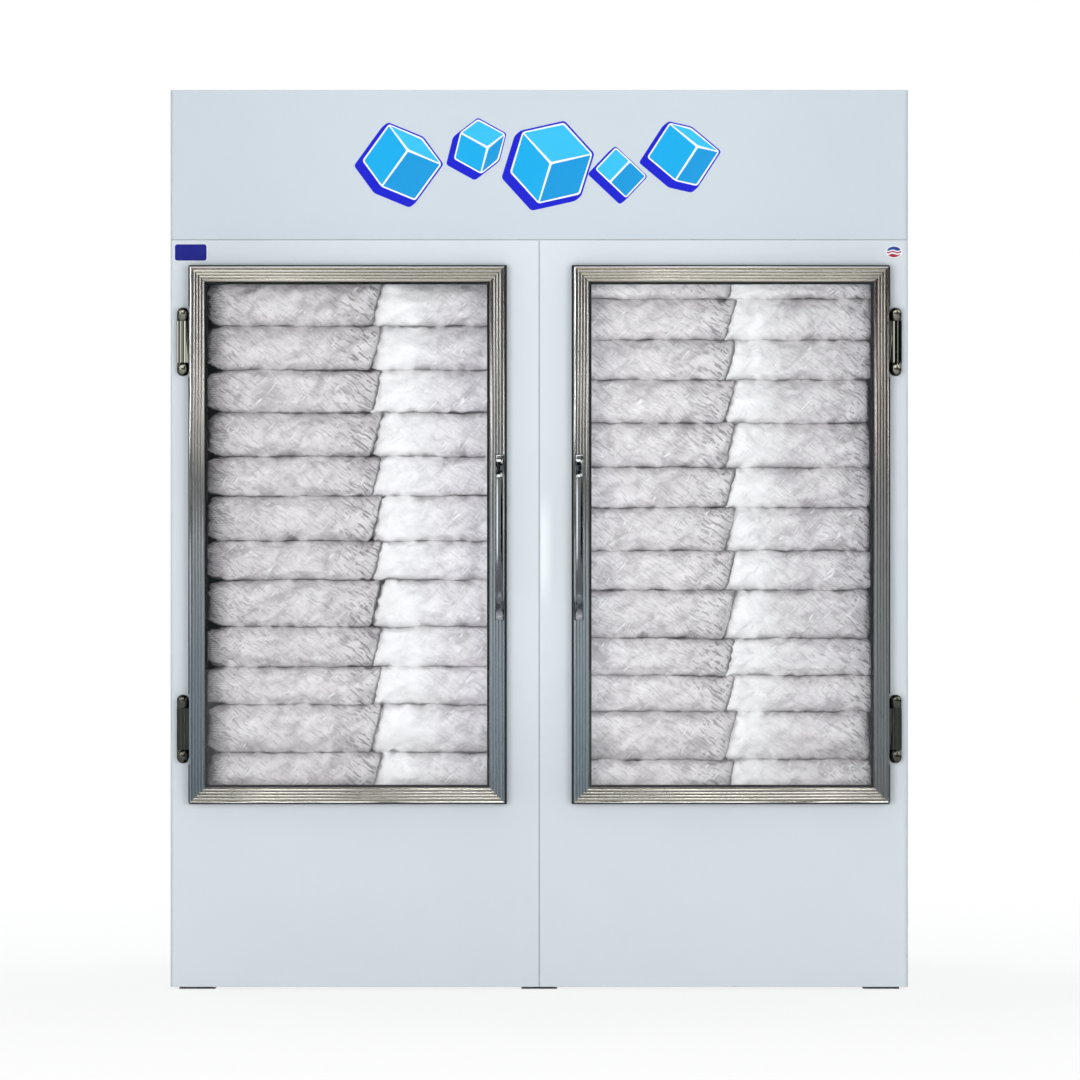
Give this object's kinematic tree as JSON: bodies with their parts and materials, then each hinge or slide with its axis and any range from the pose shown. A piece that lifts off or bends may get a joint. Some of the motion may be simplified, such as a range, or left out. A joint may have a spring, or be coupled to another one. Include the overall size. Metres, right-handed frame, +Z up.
{
  "type": "ice merchandiser",
  "caption": "Upright white freezer cabinet for bagged ice, with framed glass hinged doors side by side, a plain sign panel above and a machine bay behind it.",
  "frame": {"origin": "on the floor under the centre of the overall box with the doors shut", "axes": "+Z up, front (doors) towards -Y, +X to the viewer's right when facing the front"},
  "size_m": [1.854, 1.23, 2.26],
  "materials": {
    "white_enamel": "gloss white enamel",
    "galvanised_steel": "satin galvanised",
    "rigid_foam": "matte rigid foam",
    "black_plastic": "satin",
    "black_paint": "satin black",
    "copper_tube": "drawn copper",
    "bare_aluminium": "mill finish",
    "lamp_white": "satin",
    "anodised_aluminium": "satin anodised",
    "clear_glass": "clear",
    "black_rubber": "matte",
    "polished_chrome": "polished"
  },
  "bodies": {
    "cabinet": {"outer_skin": "white_enamel", "front_panel_left": "white_enamel", "front_panel_right": "white_enamel", "header_panel": "white_enamel", "bay_lid": "white_enamel", "bay_side_left": "white_enamel", "bay_side_right": "white_enamel", "bay_rear_panel": "white_enamel", "inner_liner": "galvanised_steel", "base_frame": "galvanised_steel", "machine_deck": "galvanised_steel", "fan_shroud": "galvanised_steel", "insulation_front": "rigid_foam", "insulation_body": "rigid_foam", "cord_gland": "black_plastic", "control_box": "black_plastic", "compressor": "black_paint", "condenser_fan_motor": "black_paint", "evaporator_motor_left": "black_paint", "evaporator_motor_right": "black_paint", "discharge_line": "copper_tube", "liquid_line": "copper_tube", "suction_line": "copper_tube", "condenser_coil": "bare_aluminium", "evaporator_housing": "bare_aluminium", "evaporator_coil": "bare_aluminium", "drain_pan": "bare_aluminium", "floor_rack": "bare_aluminium", "lamp_fixture": "lamp_white", "left_upper_hinge_base": "polished_chrome", "left_lower_hinge_base": "polished_chrome", "right_upper_hinge_base": "polished_chrome", "right_lower_hinge_base": "polished_chrome"},
    "left_door": {"left_top_rail": "anodised_aluminium", "left_bottom_rail": "anodised_aluminium", "left_hinge_stile": "anodised_aluminium", "left_handle_stile": "anodised_aluminium", "left_outer_pane": "clear_glass", "left_inner_pane": "clear_glass", "left_spacer": "black_rubber", "left_gasket": "black_rubber", "left_handle": "polished_chrome", "left_upper_hinge_leaf": "polished_chrome", "left_lower_hinge_leaf": "polished_chrome"},
    "right_door": {"right_top_rail": "anodised_aluminium", "right_bottom_rail": "anodised_aluminium", "right_hinge_stile": "anodised_aluminium", "right_handle_stile": "anodised_aluminium", "right_outer_pane": "clear_glass", "right_inner_pane": "clear_glass", "right_spacer": "black_rubber", "right_gasket": "black_rubber", "right_handle": "polished_chrome", "right_upper_hinge_leaf": "polished_chrome", "right_lower_hinge_leaf": "polished_chrome"},
    "condenser_fan": {"condenser_fan": "bare_aluminium"},
    "evaporator_fan_left": {"evaporator_fan_left": "bare_aluminium"},
    "evaporator_fan_right": {"evaporator_fan_right": "bare_aluminium"},
    "thermostat_knob": {"thermostat_knob": "black_plastic"},
    "power_switch": {"power_switch": "black_plastic"}
  },
  "joints": [
    {"name": "left_door_hinge", "type": "hinge", "parent": "cabinet", "child": "left_door", "pos_m": [-0.894, -0.542, 1.1425], "axis": [0, 0, -1], "range_deg": [0, 110], "stiffness_Nm_per_rad": 4, "springref_deg": -20.05},
    {"name": "right_door_hinge", "type": "hinge", "parent": "cabinet", "child": "right_door", "pos_m": [0.894, -0.542, 1.1425], "axis": [0, 0, 1], "range_deg": [0, 110], "stiffness_Nm_per_rad": 4, "springref_deg": -20.05},
    {"name": "condenser_fan_spin", "type": "hinge", "parent": "cabinet", "child": "condenser_fan", "pos_m": [-0.33, 0.40965, 2.031], "axis": [0, 1, 0], "continuous": true},
    {"name": "evaporator_fan_left_spin", "type": "hinge", "parent": "cabinet", "child": "evaporator_fan_left", "pos_m": [-0.31, 0.15875, 1.6927], "axis": [0, 1, 0], "continuous": true},
    {"name": "evaporator_fan_right_spin", "type": "hinge", "parent": "cabinet", "child": "evaporator_fan_right", "pos_m": [0.31, 0.15875, 1.6927], "axis": [0, 1, 0], "continuous": true},
    {"name": "thermostat_turn", "type": "hinge", "parent": "cabinet", "child": "thermostat_knob", "pos_m": [0.4628, -0.295, 1.9743], "axis": [0, 1, 0], "range_deg": [0, 270]},
    {"name": "power_switch_rock", "type": "hinge", "parent": "cabinet", "child": "power_switch", "pos_m": [0.5876, -0.301, 1.9743], "axis": [-1, 0, 0], "range_deg": [0, 18]}
  ]
}
